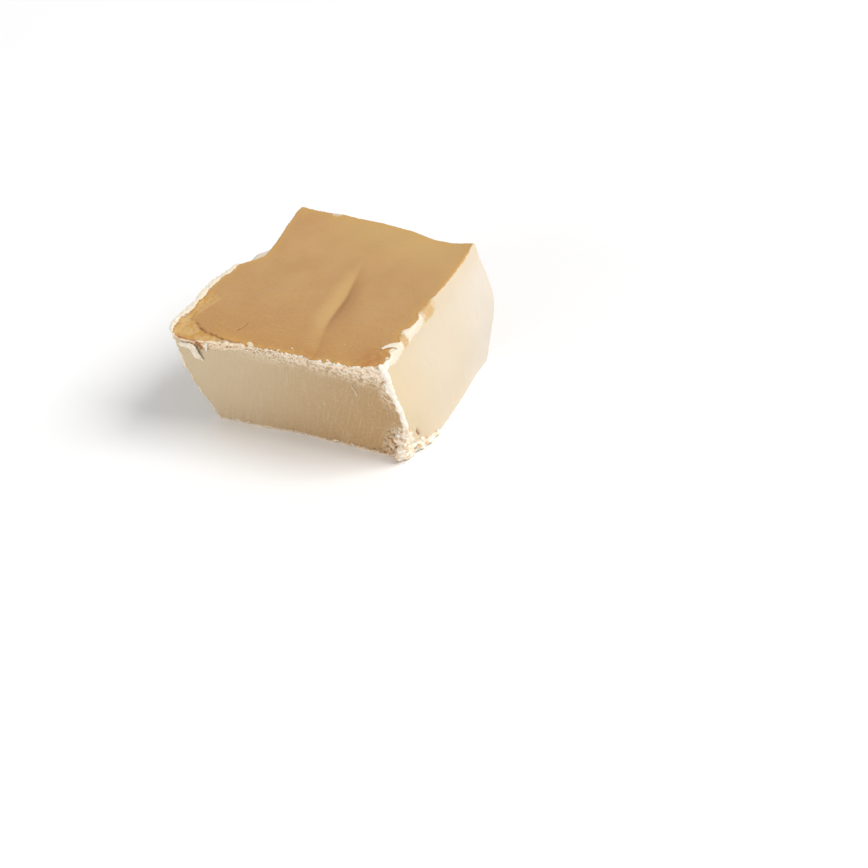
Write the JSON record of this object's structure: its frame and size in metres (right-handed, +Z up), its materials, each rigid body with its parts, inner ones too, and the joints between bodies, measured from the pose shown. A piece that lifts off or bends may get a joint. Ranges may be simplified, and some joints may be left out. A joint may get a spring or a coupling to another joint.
{
  "type": "penuche fudge",
  "caption": "Hand-cut block of brown-sugar fudge with a golden top skin, pale cut sides and crumbly edges; stands on its flat underside.",
  "frame": {"origin": "middle of the piece's outer box at its flat underside", "axes": "+X along the longer cut face, towards the right-hand end; +Y from the front cut face to the back; +Z up through the browned top skin"},
  "size_m": [0.0422, 0.0366, 0.0217],
  "materials": {
    "fudge": "satin"
  },
  "bodies": {
    "root": {"fudge_block": "fudge"}
  },
  "joints": []
}
